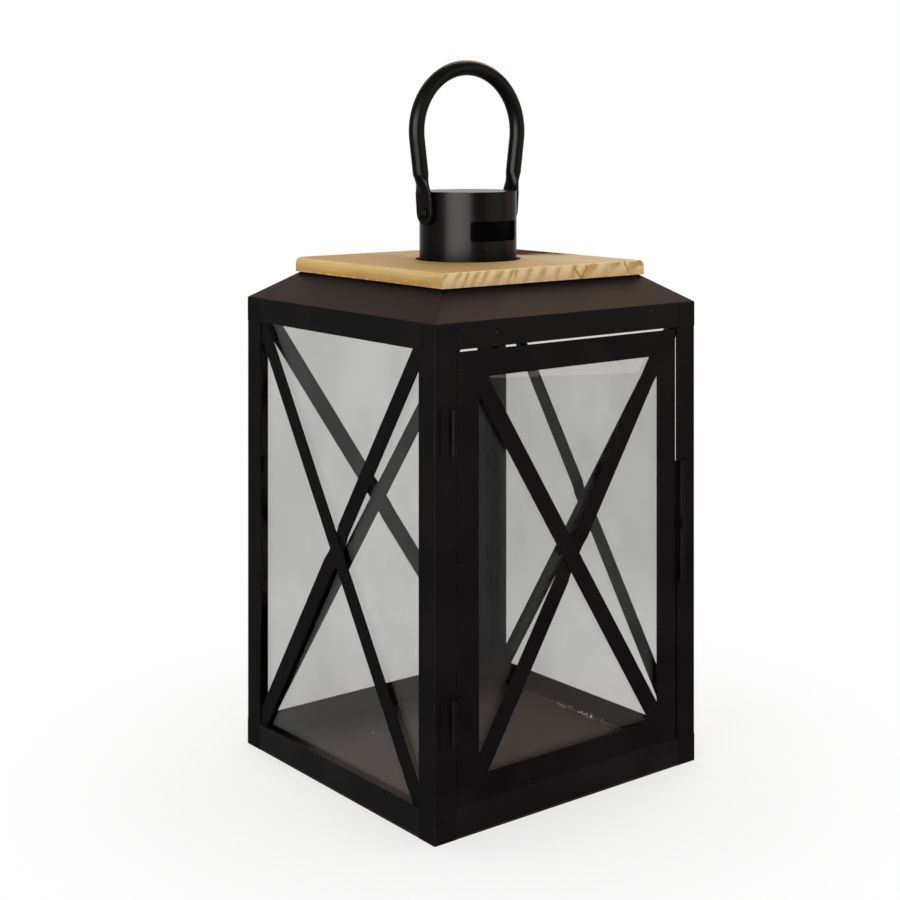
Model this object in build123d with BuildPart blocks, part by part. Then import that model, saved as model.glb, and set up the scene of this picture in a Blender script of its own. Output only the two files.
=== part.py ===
from build123d import *
import os
from math import atan2, cos, degrees, radians, sin, sqrt, tan

os.makedirs("parts", exist_ok=True)

# Driving dimensions in millimetres. The origin is the middle of the underside, +Z is up,
# the door faces -Y and its hinges are on the -X side.

# Body of folded sheet: base pan, angle posts and hood
body_width = 200.0
sheet = 1.0
eave_height = 284.0
post_leg = 15.0
post_bend = 0.8
post_top_gap = 1.0
wall_height = 16.0
pan_bend = 0.5
skirt_height = 14.0
hood_bend = 1.0
hood_rise = 16.5
hood_top_width = 151.0

# Wood top and the screws that hold it from below
board_width = 156.0
board_thickness = 9.0
board_hole = 66.0
board_edge = 4.0
board_arris = 0.5
screw_spacing = 104.0
screw_shank = 3.5
screw_head = 7.0
screw_head_height = 2.2
screw_bite = 6.5
screw_recess = 1.2

# Chimney, with one vent slot at the front and one at the back
chimney_diameter = 61.0
chimney_wall = 1.2
chimney_rise = 42.5
flange_width = 7.0
slot_width = 35.0
slot_height = 12.2
slot_rise = 18.5
slot_corner = 1.5
lid_gauge = 1.2

# Handle: one bent tube, pressed flat at both ends, on two rivets
pivot_rise = 29.5
tube_diameter = 9.7
tube_wall = 1.0
bow_radius = 39.8
bow_rise = 50.4
leg_lean = 7.5
neck_length = 12.0
flat_length = 12.0
flat_lean = 4.0
flat_standoff = 2.2
flat_width = 15.0
flat_round = 0.6
rivet_shank = 4.0
rivet_head = 7.8
rivet_dome = 2.0
rivet_tail = 6.5
rivet_tail_height = 1.2

# Glazing of the three fixed sides
brace_width = 10.4
brace_gauge = 1.0
brace_tuck = 8.0
brace_ramp = 6.0
pane_thickness = 2.0
pane_tuck = 8.4
pane_top_tuck = 9.0
tab_gauge = 0.8
tab_height = 10.0
tab_foot = 5.0
tab_grip = 4.4
tab_low_height = 70.0
tab_high_height = 178.0
rear_tab_shift = 22.0

# Door
hinge_side_gap = 0.4
latch_side_gap = 2.1
door_top_gap = 2.0
door_bottom_gap = 1.2
door_strip = 15.0
door_pane_tuck = 6.5
door_tab_foot = 4.2
door_tab_grip = 3.6
door_tab_spread = 45.0
stop_lap = 4.0
stop_seat = 3.4
stop_top = 187.0

# Butt hinges
hinge_height = 25.4
hinge_low_rise = 48.3
hinge_high_drop = 43.5
hinge_setback = 3.5
barrel_diameter = 3.6
hinge_pin = 1.8
leaf_gauge = 0.8
post_leaf_width = 8.0
door_leaf_width = 10.0
pin_proud = 0.5

# Latch, stored with its tongue turned out so that the door is free
latch_setback = 1.9
latch_bottom = 113.5
latch_height = 74.0
latch_barrel = 3.2
latch_pin = 1.4
eye_height = 13.0
eye_leaf_width = 9.0
tongue_lap = 1.0
tongue_drop = 4.8
tongue_climb = 7.7
tongue_tip_height = 149.0
tongue_tip_width = 1.0
tongue_ajar = 65.0

# Clearances
running_gap = 0.3
pin_fit = 0.05
seat_fit = 0.1

# Levels and half widths that follow from the sizes above
half_width = body_width / 2
shell_half = half_width - sheet
opening_half = half_width - post_leg
hood_top = eave_height + hood_rise
skirt_bottom = eave_height - skirt_height
plate_underside = hood_top - sheet
board_top = hood_top + board_thickness
chimney_top = board_top + chimney_rise
chimney_radius = chimney_diameter / 2
pivot_height = board_top + pivot_rise
flat_gauge = 2 * tube_wall
flat_x = chimney_radius + flat_standoff + flat_gauge / 2

# Depths of the layers on a fixed side, measured inwards from the posts' outer faces
brace_depth = sheet
pane_depth = brace_depth + 2 * brace_gauge + running_gap
tab_depth = pane_depth + pane_thickness

# Depths of the layers on the door, whose face stands a running gap proud of the posts
door_depth = -running_gap
door_back_depth = door_depth + sheet
door_pane_depth = door_depth + 2 * brace_gauge + running_gap
door_tab_depth = door_pane_depth + pane_thickness

# Door outline as seen from the front
door_left = -opening_half + hinge_side_gap
door_right = opening_half - latch_side_gap
door_bottom = wall_height + door_bottom_gap
door_top = skirt_bottom - door_top_gap
glass_left = door_left + door_strip
glass_right = door_right - door_strip
glass_bottom = door_bottom + door_strip
glass_top = door_top - door_strip

# Axes of the hinges and the latch
hinge_x = -opening_half - hinge_setback
hinge_depth = -(barrel_diameter / 2 + running_gap)
hinge_low_height = door_bottom + hinge_low_rise
hinge_high_height = door_top - hinge_high_drop
latch_x = opening_half + latch_setback
latch_depth = door_depth - running_gap - latch_barrel / 2
tongue_reach = latch_setback + latch_side_gap + tongue_lap

quarter_turn = {"front": 0, "right": 90, "rear": 180, "left": 270}


def save(piece, name):
    """Names a finished piece and writes it to its own file."""
    piece.part.label = name
    export_step(piece.part, f"parts/{name}.step")


def side_plane(side, depth):
    """Upright plane of one side, facing outwards, a given depth inside the posts' outer faces."""
    outward = Vector(0, -1, 0).rotate(Axis.Z, quarter_turn[side])
    along = Vector(1, 0, 0).rotate(Axis.Z, quarter_turn[side])
    return Plane(outward * (half_width - depth), x_dir=along, z_dir=outward)


def plan_plane(side, height):
    """Level plane at a height, turned so that its -Y edge is the named side."""
    along = Vector(1, 0, 0).rotate(Axis.Z, quarter_turn[side])
    return Plane((0, 0, height), x_dir=along, z_dir=(0, 0, 1))


def folded_quarter(section_points, bends):
    """One quarter of a square sheet form: the section bent along its outer line, mitred at both ends."""
    with BuildPart() as quarter:
        with BuildSketch(Plane.YZ):
            with BuildLine():
                outer = FilletPolyline(*section_points, radius=bends)
                offset(outer, amount=sheet, side=Side.RIGHT, closed=True)
            make_face()
        extrude(amount=half_width, both=True)
        split(bisect_by=Plane((0, 0, 0), x_dir=(1, 1, 0), z_dir=(1, -1, 0)), keep=Keep.TOP)
        split(bisect_by=Plane((0, 0, 0), x_dir=(1, -1, 0), z_dir=(-1, -1, 0)), keep=Keep.TOP)
    return quarter.part


# Base pan: one sheet, its four walls folded up and welded at the corners.
pan_section = [(0, 0), (-shell_half, 0), (-shell_half, wall_height)]
pan_quarter = folded_quarter(pan_section, pan_bend + sheet)
with BuildPart() as base_pan:
    with PolarLocations(0, len(quarter_turn)):
        add(pan_quarter)
save(base_pan, "base_pan")

# Corner posts: angle strips outside the pan walls and the hood's skirt, just short of the eave.
for name, side in {
    "post_front_left": "front",
    "post_front_right": "right",
    "post_rear_right": "rear",
    "post_rear_left": "left",
}.items():
    with BuildPart() as post:
        with BuildSketch(plan_plane(side, 0)):
            with Locations((-half_width, -half_width)):
                Rectangle(post_leg, post_leg, align=Align.MIN)
            with Locations((-shell_half, -shell_half)):
                Rectangle(post_leg, post_leg, align=Align.MIN, mode=Mode.SUBTRACT)
            fillet(vertices().sort_by_distance((-half_width, -half_width, 0))[0], post_bend)
        extrude(amount=eave_height - post_top_gap)
    save(post, name)

# Hood: four slopes with turned-down skirts and a flat top plate, folded from sheet with welded hips.
hood_section = [
    (-shell_half, skirt_bottom),
    (-shell_half, eave_height),
    (-hood_top_width / 2, hood_top),
    (0, hood_top),
]
hood_quarter = folded_quarter(hood_section, hood_bend + sheet)
with BuildPart() as roof_hood:
    with PolarLocations(0, len(quarter_turn)):
        add(hood_quarter)
    with Locations((0, 0, plate_underside)):
        Hole(chimney_radius + seat_fit, 2 * sheet)
        with GridLocations(screw_spacing, screw_spacing, 2, 2):
            Hole(screw_shank / 2 + seat_fit, 2 * sheet)
save(roof_hood, "roof_hood")

# Wood top: a board planed round along its two long-grain edges, with only an arris on its sawn ends,
# bored for the chimney and drilled from below for its screws.
with BuildPart() as wood_top:
    with BuildSketch(Plane.XZ):
        with Locations((0, hood_top)):
            Rectangle(board_width, board_thickness, align=(Align.CENTER, Align.MIN))
        fillet(vertices().group_by(Axis.Y)[-1], board_edge)
    extrude(amount=board_width / 2, both=True)
    ends = faces().filter_by(Axis.Y)
    fillet(ends.edges(), board_arris)
    with BuildSketch(Plane.XY.offset(hood_top)):
        Circle(board_hole / 2)
    extrude(amount=board_thickness, mode=Mode.SUBTRACT)
    with BuildSketch(Plane.XY.offset(hood_top)):
        with GridLocations(screw_spacing, screw_spacing, 2, 2):
            Circle(screw_shank / 2 + pin_fit)
    extrude(amount=screw_bite + seat_fit, mode=Mode.SUBTRACT)
save(wood_top, "wood_top")

# Wood screws: driven up through the hood's top plate, heads underneath, with a cross recess.
with BuildPart() as wood_top_screws:
    with BuildSketch(Plane.XY.offset(plate_underside)):
        with GridLocations(screw_spacing, screw_spacing, 2, 2):
            Circle(screw_head / 2)
    extrude(amount=-screw_head_height)
    fillet(edges().group_by(Axis.Z)[0], screw_head_height / 2)
    with BuildSketch(Plane.XY.offset(plate_underside - screw_head_height)):
        with GridLocations(screw_spacing, screw_spacing, 2, 2):
            Rectangle(screw_head / 2, screw_recess / 2)
            Rectangle(screw_recess / 2, screw_head / 2)
    extrude(amount=screw_recess, mode=Mode.SUBTRACT)
    with BuildSketch(Plane.XY.offset(plate_underside)):
        with GridLocations(screw_spacing, screw_spacing, 2, 2):
            Circle(screw_shank / 2)
    extrude(amount=sheet + screw_bite)
save(wood_top_screws, "wood_top_screws")

# Chimney tube: flanged under the hood's top plate, slotted at the front and back, drilled for the rivets.
with BuildPart() as chimney_tube:
    with BuildSketch(Plane.XY.offset(plate_underside - chimney_wall)):
        Circle(chimney_radius + flange_width)
        Circle(chimney_radius - chimney_wall, mode=Mode.SUBTRACT)
    extrude(amount=chimney_wall)
    with BuildSketch(Plane.XY.offset(plate_underside)):
        Circle(chimney_radius)
        Circle(chimney_radius - chimney_wall, mode=Mode.SUBTRACT)
    extrude(amount=chimney_top - plate_underside)
    with BuildSketch(Plane.XZ):
        with Locations((0, board_top + slot_rise)):
            RectangleRounded(slot_width, slot_height, slot_corner)
    extrude(amount=chimney_diameter, both=True, mode=Mode.SUBTRACT)
    with BuildSketch(Plane.YZ):
        with Locations((0, pivot_height)):
            Circle(rivet_shank / 2 + pin_fit)
    extrude(amount=chimney_diameter, both=True, mode=Mode.SUBTRACT)
save(chimney_tube, "chimney_tube")

# Chimney lid: a flat disc let into the mouth of the tube, flush with its rim.
with BuildPart() as chimney_lid:
    with BuildSketch(Plane.XY.offset(chimney_top)):
        Circle(chimney_radius - chimney_wall - pin_fit)
    extrude(amount=-lid_gauge)
save(chimney_lid, "chimney_lid")

# Handle rivets: domed outside the handle's flats, with a flat tail formed inside the tube.
inner_radius = chimney_radius - chimney_wall
tail_face = sqrt(inner_radius**2 - (rivet_tail / 2) ** 2)
tilt = radians(flat_lean)
dome_face = flat_x + flat_gauge / 2 / cos(tilt) + rivet_head / 2 * tan(tilt) + running_gap
dome_radius = ((rivet_head / 2) ** 2 + rivet_dome**2) / (2 * rivet_dome)
with BuildPart() as handle_rivets:
    with BuildSketch(Plane.XZ):
        with BuildLine():
            crown = (dome_face + rivet_dome, pivot_height)
            brim = (dome_face, pivot_height + rivet_head / 2)
            RadiusArc(crown, brim, -dome_radius)
            Polyline(
                brim,
                (dome_face, pivot_height + rivet_shank / 2),
                (tail_face, pivot_height + rivet_shank / 2),
                (tail_face, pivot_height + rivet_tail / 2),
                (tail_face - rivet_tail_height, pivot_height + rivet_tail / 2),
                (tail_face - rivet_tail_height, pivot_height),
                crown,
            )
        make_face()
    revolve(axis=Axis((0, 0, pivot_height), (1, 0, 0)))
    mirror(about=Plane.YZ)
save(handle_rivets, "handle_rivets")

# Handle: a tube bowed over the chimney, its legs leaning in to two flats that turn on the rivets and
# stand a little off the tube. One half is made, from a flat up to the crown of the bow, and mirrored.
lean = radians(leg_lean)
half_turn = radians(45)
bow_height = pivot_height + bow_rise
bow_end = (bow_radius * cos(lean), bow_height - bow_radius * sin(lean))
bow_middle = (bow_radius * cos(half_turn), bow_height + bow_radius * sin(half_turn))
bow_crown = (0, bow_height + bow_radius)
neck_top = pivot_height + flat_length + neck_length
tube_end = (bow_end[0] - (bow_end[1] - neck_top) * tan(lean), neck_top)
tube_end_plane = Plane((tube_end[0], 0, tube_end[1]), x_dir=(0, 1, 0), z_dir=(-sin(lean), 0, -cos(lean)))
flat_axis = Axis((flat_x, 0, pivot_height), (sin(tilt), 0, cos(tilt)))
flat_plane = Plane(flat_axis.position, x_dir=(0, 1, 0), z_dir=(cos(tilt), 0, -sin(tilt)))
flat_top = flat_axis.position + flat_axis.direction * flat_length
flat_top_plane = Plane(flat_top, x_dir=(0, 1, 0), z_dir=-flat_axis.direction)
with BuildPart() as handle:
    with BuildSketch(flat_plane):
        Rectangle(flat_width, flat_length, align=(Align.CENTER, Align.MIN))
        Circle(flat_width / 2)
    extrude(amount=flat_gauge / 2, both=True)
    rim = edges().filter_by(Axis(flat_axis.position, flat_plane.z_dir), reverse=True)
    fillet(rim.sort_by(flat_axis)[:-2], flat_round)
    with Locations(Plane(flat_axis.position, x_dir=(0, 1, 0), z_dir=(1, 0, 0))):
        Hole(rivet_shank / 2 + pin_fit, 2 * flat_gauge)
    with BuildSketch(tube_end_plane):
        Circle(tube_diameter / 2)
    with BuildSketch(flat_top_plane):
        SlotOverall(flat_width, flat_gauge)
    loft()
    with BuildLine(Plane.XZ) as bow_path:
        Line(tube_end, bow_end)
        ThreePointArc(bow_end, bow_middle, bow_crown)
    with BuildSketch(tube_end_plane):
        Circle(tube_diameter / 2)
        Circle(tube_diameter / 2 - tube_wall, mode=Mode.SUBTRACT)
    sweep(path=bow_path.wires()[0])
    mirror(about=Plane.YZ)
save(handle, "handle")

# Braces: flat strips on the diagonals of each opening, level with the sheet that they are welded to and
# lapped behind the posts. The strip that falls to the right runs straight, and the rising one is joggled
# inwards by one gauge where it crosses it.
fixed_opening = (-opening_half, opening_half, wall_height, skirt_bottom)
door_opening = (glass_left, glass_right, glass_bottom, glass_top)
for name, side, depth, opening, tuck in [
    ("left", "left", brace_depth, fixed_opening, brace_tuck),
    ("right", "right", brace_depth, fixed_opening, brace_tuck),
    ("rear", "rear", brace_depth, fixed_opening, brace_tuck),
    ("door", "front", door_depth, door_opening, 0),
]:
    left, right, bottom, top = opening
    plane = side_plane(side, depth)
    centre = ((left + right) / 2, (bottom + top) / 2)
    grown = (right - left + 2 * tuck, top - bottom)
    slope = atan2(top - bottom, right - left)
    crossing = brace_width / 2 * (1 / sin(2 * slope) + abs(1 / tan(2 * slope))) + seat_fit
    reach = sum(grown) / 2

    with BuildPart() as brace_under:
        with BuildSketch(plane):
            with Locations(centre):
                Rectangle(2 * reach, brace_width, rotation=-degrees(slope))
                Rectangle(*grown, mode=Mode.INTERSECT)
        extrude(amount=-brace_gauge)
    save(brace_under, f"{name}_brace_under")

    run = plane.x_dir * cos(slope) + plane.y_dir * sin(slope)
    edge_plane = Plane(plane.from_local_coords(centre), x_dir=run, z_dir=plane.z_dir.cross(run))
    outer_line = [
        (-reach, 0),
        (-crossing - brace_ramp, 0),
        (-crossing, brace_gauge),
        (crossing, brace_gauge),
        (crossing + brace_ramp, 0),
        (reach, 0),
    ]
    inner_line = [(along, lift + brace_gauge) for along, lift in reversed(outer_line)]
    with BuildPart() as brace_over:
        with BuildSketch(edge_plane):
            with BuildLine():
                Polyline(*outer_line, *inner_line, close=True)
            make_face()
        extrude(amount=brace_width / 2, both=True)
        with BuildSketch(plane):
            with Locations(centre):
                Rectangle(*grown)
        extrude(amount=-2 * brace_gauge, mode=Mode.INTERSECT)
    save(brace_over, f"{name}_brace_over")

# Panes of the three fixed sides: stood on the pan's floor behind the braces.
pane_half = opening_half + pane_tuck
pane_height = skirt_bottom + pane_top_tuck - sheet
for side in ["left", "right", "rear"]:
    with BuildPart() as pane:
        with BuildSketch(side_plane(side, pane_depth)):
            with Locations((0, sheet)):
                Rectangle(2 * pane_half, pane_height, align=(Align.CENTER, Align.MIN))
        extrude(amount=-pane_thickness)
    save(pane, f"{side}_pane")

# Pane tabs: bent strips welded to the neighbouring posts, each with a finger behind the glass.
# The rear ones are set nearer the middle, so that fingers that meet in a corner don't cross.
finger_y = tab_depth - half_width
tab_line = [
    (shell_half, finger_y + tab_foot),
    (shell_half, finger_y),
    (pane_half - tab_grip, finger_y),
]
for side, shift in {"left": 0, "right": 0, "rear": rear_tab_shift}.items():
    with BuildPart() as pane_tabs:
        for height in (tab_low_height + shift, tab_high_height - shift):
            with BuildSketch(plan_plane(side, height - tab_height / 2)):
                with BuildLine():
                    bent = FilletPolyline(*tab_line, radius=2 * tab_gauge)
                    offset(bent, amount=tab_gauge, side=Side.RIGHT, closed=True)
                make_face()
            extrude(amount=tab_height)
        mirror(about=Plane((0, 0, 0), z_dir=plan_plane(side, 0).x_dir))
    save(pane_tabs, f"{side}_pane_tabs")

# Door frame: two full-height stiles with a rail butted between them at each end.
for name, left, right, bottom, top in [
    ("door_hinge_stile", door_left, glass_left, door_bottom, door_top),
    ("door_latch_stile", glass_right, door_right, door_bottom, door_top),
    ("door_top_rail", glass_left, glass_right, glass_top, door_top),
    ("door_bottom_rail", glass_left, glass_right, door_bottom, glass_bottom),
]:
    with BuildPart() as strip:
        with BuildSketch(side_plane("front", door_depth)):
            with Locations((left, bottom)):
                Rectangle(right - left, top - bottom, align=Align.MIN)
        extrude(amount=-sheet)
    save(strip, name)

# Door pane: lapped behind the frame on all four sides.
with BuildPart() as door_pane:
    with BuildSketch(side_plane("front", door_pane_depth)):
        with Locations((glass_left - door_pane_tuck, glass_bottom - door_pane_tuck)):
            Rectangle(
                glass_right - glass_left + 2 * door_pane_tuck,
                glass_top - glass_bottom + 2 * door_pane_tuck,
                align=Align.MIN,
            )
    extrude(amount=-pane_thickness)
save(door_pane, "door_pane")

# Door pane tabs: cranked strips on the back of the frame, round the pane's edges. The glass rests on
# the lowest two.
door_middle = (door_left + door_right) / 2
door_back_y = door_back_depth - half_width
finger_lift = door_tab_depth - door_back_depth
tab_spots = [
    (glass_left - door_pane_tuck, tab_low_height, Vector(-1, 0, 0)),
    (glass_left - door_pane_tuck, tab_high_height, Vector(-1, 0, 0)),
    (door_middle - door_tab_spread, glass_bottom - door_pane_tuck, Vector(0, 0, -1)),
    (door_middle + door_tab_spread, glass_bottom - door_pane_tuck, Vector(0, 0, -1)),
    (door_middle - door_tab_spread, glass_top + door_pane_tuck, Vector(0, 0, 1)),
    (door_middle + door_tab_spread, glass_top + door_pane_tuck, Vector(0, 0, 1)),
]
with BuildPart() as door_pane_tabs:
    for x, height, away in tab_spots:
        with BuildSketch(Plane((x, door_back_y, height), x_dir=away, z_dir=away.cross(Vector(0, 1, 0)))):
            with BuildLine():
                Polyline(
                    (seat_fit, 0),
                    (seat_fit + tab_gauge + door_tab_foot, 0),
                    (seat_fit + tab_gauge + door_tab_foot, tab_gauge),
                    (seat_fit + tab_gauge, tab_gauge),
                    (seat_fit + tab_gauge, finger_lift + tab_gauge),
                    (-door_tab_grip, finger_lift + tab_gauge),
                    (-door_tab_grip, finger_lift),
                    (seat_fit, finger_lift),
                    close=True,
                )
            make_face()
        extrude(amount=tab_height / 2, both=True)
save(door_pane_tabs, "door_pane_tabs")

# Door stop: a strip welded behind the front right post, lapping behind the latch stile.
stop_left = door_right - stop_lap
stop_right = opening_half + stop_seat
with BuildPart() as door_stop:
    with BuildSketch(side_plane("front", sheet)):
        with Locations((stop_left, wall_height)):
            Rectangle(stop_right - stop_left, stop_top - wall_height, align=Align.MIN)
    extrude(amount=-sheet)
save(door_stop, "door_stop")

# Butt hinges: the post leaf has the outer two knuckles, the door leaf the middle one, on a common pin.
knuckle_height = (hinge_height - 2 * running_gap) / 3
knuckle_pitch = knuckle_height + running_gap
knuckle_room = barrel_diameter / 2 + running_gap
post_leaf_gauge = leaf_gauge + running_gap
leaf_face_y = door_depth - leaf_gauge - half_width
hinge_axis = (hinge_x, hinge_depth - half_width)
for name, height in {"upper": hinge_high_height, "lower": hinge_low_height}.items():
    bottom_plane = Plane.XY.offset(height - hinge_height / 2)

    with BuildPart() as post_leaf:
        with BuildSketch(bottom_plane):
            with Locations((hinge_x - knuckle_room, leaf_face_y)):
                Rectangle(post_leaf_width - knuckle_room, post_leaf_gauge, align=(Align.MAX, Align.MIN))
        extrude(amount=hinge_height)
        with BuildSketch(bottom_plane, bottom_plane.offset(2 * knuckle_pitch)):
            with Locations((hinge_x, leaf_face_y)):
                Rectangle(knuckle_room, post_leaf_gauge, align=(Align.MAX, Align.MIN))
            with Locations(hinge_axis):
                Circle(barrel_diameter / 2)
                Circle(hinge_pin / 2 + pin_fit, mode=Mode.SUBTRACT)
        extrude(amount=knuckle_height)
    save(post_leaf, f"{name}_hinge_post_leaf")

    with BuildPart() as door_leaf:
        with BuildSketch(bottom_plane):
            with Locations((hinge_x + knuckle_room, leaf_face_y)):
                Rectangle(door_leaf_width - knuckle_room, leaf_gauge, align=Align.MIN)
        extrude(amount=hinge_height)
        with BuildSketch(bottom_plane.offset(knuckle_pitch)):
            with Locations((hinge_x, leaf_face_y)):
                Rectangle(knuckle_room, leaf_gauge, align=Align.MIN)
            with Locations(hinge_axis):
                Circle(barrel_diameter / 2)
                Circle(hinge_pin / 2 + pin_fit, mode=Mode.SUBTRACT)
        extrude(amount=knuckle_height)
    save(door_leaf, f"{name}_hinge_door_leaf")

    with BuildPart() as pin:
        with BuildSketch(bottom_plane.offset(-pin_proud)):
            with Locations(hinge_axis):
                Circle(hinge_pin / 2)
        extrude(amount=hinge_height + 2 * pin_proud)
        fillet(edges().filter_by(GeomType.CIRCLE), pin_proud)
    save(pin, f"{name}_hinge_pin")

# Latch eyes: two leaves on the post, each rolled round the latch's pin.
latch_axis = (latch_x, latch_depth - half_width)
eye_thickness = leaf_gauge - latch_depth - latch_barrel / 2
upper_eye_bottom = latch_bottom + latch_height - eye_height
for name, bottom in {"latch_lower_eye": latch_bottom, "latch_upper_eye": upper_eye_bottom}.items():
    with BuildPart() as eye:
        with BuildSketch(Plane.XY.offset(bottom)):
            with Locations((latch_x, -half_width)):
                Rectangle(eye_leaf_width, eye_thickness, align=(Align.MIN, Align.MAX))
            with Locations(latch_axis):
                Circle(latch_barrel / 2)
                Circle(latch_pin / 2 + pin_fit, mode=Mode.SUBTRACT)
        extrude(amount=eye_height)
    save(eye, name)

# Latch pin: through both eyes and the tongue's sleeve, its ends rounded.
with BuildPart() as latch_pin_rod:
    with BuildSketch(Plane.XY.offset(latch_bottom - pin_proud)):
        with Locations(latch_axis):
            Circle(latch_pin / 2)
    extrude(amount=latch_height + 2 * pin_proud)
    fillet(edges().filter_by(GeomType.CIRCLE), pin_proud)
save(latch_pin_rod, "latch_pin")

# Latch tongue: a pointed tab off a sleeve that turns on the pin, shown turned out from the door.
ajar = radians(tongue_ajar)
tongue_plane = Plane((*latch_axis, 0), x_dir=(-cos(ajar), -sin(ajar), 0), z_dir=(-sin(ajar), cos(ajar), 0))
with BuildPart() as latch_tongue:
    with BuildSketch(Plane.XY.offset(latch_bottom + eye_height + running_gap)):
        with Locations(latch_axis):
            Circle(latch_barrel / 2)
            Circle(latch_pin / 2 + pin_fit, mode=Mode.SUBTRACT)
    extrude(amount=latch_height - 2 * eye_height - 2 * running_gap)
    with BuildSketch(tongue_plane.offset(latch_barrel / 2)):
        with BuildLine():
            Polyline(
                (0, tongue_tip_height - tongue_drop),
                (tongue_reach, tongue_tip_height - tongue_tip_width / 2),
                (tongue_reach, tongue_tip_height + tongue_tip_width / 2),
                (0, tongue_tip_height + tongue_climb),
                close=True,
            )
        make_face()
    extrude(amount=-leaf_gauge)
save(latch_tongue, "latch_tongue")
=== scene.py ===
import bmesh
import bpy
from math import pi, radians, tan
from mathutils import Matrix, Vector


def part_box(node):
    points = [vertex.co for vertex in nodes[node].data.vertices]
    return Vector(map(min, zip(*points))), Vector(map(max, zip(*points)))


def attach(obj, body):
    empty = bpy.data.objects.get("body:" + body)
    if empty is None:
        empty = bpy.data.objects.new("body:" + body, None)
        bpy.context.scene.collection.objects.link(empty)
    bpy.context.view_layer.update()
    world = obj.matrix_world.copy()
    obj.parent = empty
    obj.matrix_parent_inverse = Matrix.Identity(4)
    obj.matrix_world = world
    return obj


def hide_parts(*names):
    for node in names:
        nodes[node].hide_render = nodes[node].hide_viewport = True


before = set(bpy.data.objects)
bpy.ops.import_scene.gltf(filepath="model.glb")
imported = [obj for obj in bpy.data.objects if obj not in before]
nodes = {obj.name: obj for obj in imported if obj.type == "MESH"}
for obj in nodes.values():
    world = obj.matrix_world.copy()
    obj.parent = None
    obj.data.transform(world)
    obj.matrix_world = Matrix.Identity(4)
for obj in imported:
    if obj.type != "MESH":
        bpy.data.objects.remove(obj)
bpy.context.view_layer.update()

# Base pan: one sheet of black powder-coated steel, its four walls folded up and ground flush with the posts.
# Its floor has gathered brown dust, thinned towards the rear wall as painted shade. Pale crumbs along the
# foot of the right wall are partly dried glue and partly a painted glint.
pan_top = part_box("base_pan")[1].z
below_flush = 0.00002
pan_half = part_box("post_front_right")[1].x - below_flush
pan_sheet = 0.001
pan_inside = pan_half - pan_sheet
pan_fold = 0.0003
pan_arris = 0.0002
pan_front_rise = 0.0007
closeness = 0.000001
sharp_turn = radians(40)
crisp_turn = radians(50)
peel_depth = 0.000004
black_paint = (0.0054, 0.0049, 0.0049, 1)
darker_patch = (0.72, 0.72, 0.74, 1)
pale_dust = (0.42, 0.4, 0.37, 1)
dust_film = 0.008
sheen_drift = 0.04


def add_node(tree, kind, inputs=None, **settings):
    """A shader node with its settings made, and its inputs set to values or linked to other outputs."""
    made = tree.nodes.new(kind)
    for name, value in settings.items():
        setattr(made, name, value)
    for name, value in (inputs or {}).items():
        if isinstance(value, bpy.types.NodeSocket):
            tree.links.new(value, made.inputs[name])
        else:
            made.inputs[name].default_value = value
    return made


def math_node(tree, operation, first, second=0.0, clamp=False):
    """The output of a Math node on two values or outputs."""
    inputs = {0: first, 1: second}
    return add_node(tree, "ShaderNodeMath", inputs, operation=operation, use_clamp=clamp).outputs[0]


def product(tree, first, *others):
    """Several values or outputs multiplied together."""
    for other in others:
        first = math_node(tree, "MULTIPLY", first, other)
    return first


def distance_from(tree, value, level):
    """How far a value is from a level, on either side of it."""
    return math_node(tree, "ABSOLUTE", math_node(tree, "SUBTRACT", value, level))


def ramp_between(tree, value, low, high, out_low=0.0, out_high=1.0):
    """A value brought smoothly from one range to another and kept inside it."""
    inputs = {"Value": value, "From Min": low, "From Max": high, "To Min": out_low, "To Max": out_high}
    return add_node(tree, "ShaderNodeMapRange", inputs, interpolation_type="SMOOTHSTEP").outputs["Result"]


def fade(tree, value, full, gone, strength=1.0):
    """A mask at its full strength up to one value and gone past another."""
    return ramp_between(tree, value, full, gone, strength, 0.0)


def mix_colours(tree, factor, first, second, blend_type="MIX"):
    """The colour output of a Mix node, whose colour sockets come after those for values and vectors."""
    inputs = {0: factor, 6: first, 7: second}
    return add_node(tree, "ShaderNodeMix", inputs, data_type="RGBA", blend_type=blend_type).outputs[2]


def noise_node(tree, place, scale, detail=2.0, stretch=(1, 1, 1)):
    """A noise value on the piece's own coordinates, drawn out along an axis where asked."""
    drawn = add_node(tree, "ShaderNodeVectorMath", {0: place, 1: stretch}, operation="MULTIPLY")
    inputs = {"Vector": drawn.outputs["Vector"], "Scale": scale, "Detail": detail}
    return add_node(tree, "ShaderNodeTexNoise", inputs).outputs["Fac"]


def spots(tree, place, scale, rarity, core, rim, strength=1.0):
    """Round spots in those cells of a pattern that pass a rarity, each fading from its core to its rim."""
    cells = add_node(tree, "ShaderNodeTexVoronoi", {"Vector": place, "Scale": scale})
    chosen = math_node(tree, "GREATER_THAN", cells.outputs["Color"], rarity)
    return product(tree, chosen, fade(tree, cells.outputs["Distance"], core, rim, strength))


def own_place(tree):
    """A point's place in its piece's own coordinates."""
    return tree.nodes.new("ShaderNodeTexCoord").outputs["Object"]


def split_place(tree):
    """The x, y and z of a point on its piece, and the point itself."""
    place = own_place(tree)
    parts = add_node(tree, "ShaderNodeSeparateXYZ", {0: place}).outputs
    return parts["X"], parts["Y"], parts["Z"], place


def new_group(name, inputs, outputs):
    """An empty shader node group with named sockets, and its two end nodes."""
    group = bpy.data.node_groups.new(name, "ShaderNodeTree")
    for socket_name, (socket_type, value) in inputs.items():
        socket = group.interface.new_socket(socket_name, in_out="INPUT", socket_type=socket_type)
        socket.default_value = value
    for socket_name, socket_type in outputs.items():
        group.interface.new_socket(socket_name, in_out="OUTPUT", socket_type=socket_type)
    return group, group.nodes.new("NodeGroupInput"), group.nodes.new("NodeGroupOutput")


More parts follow.
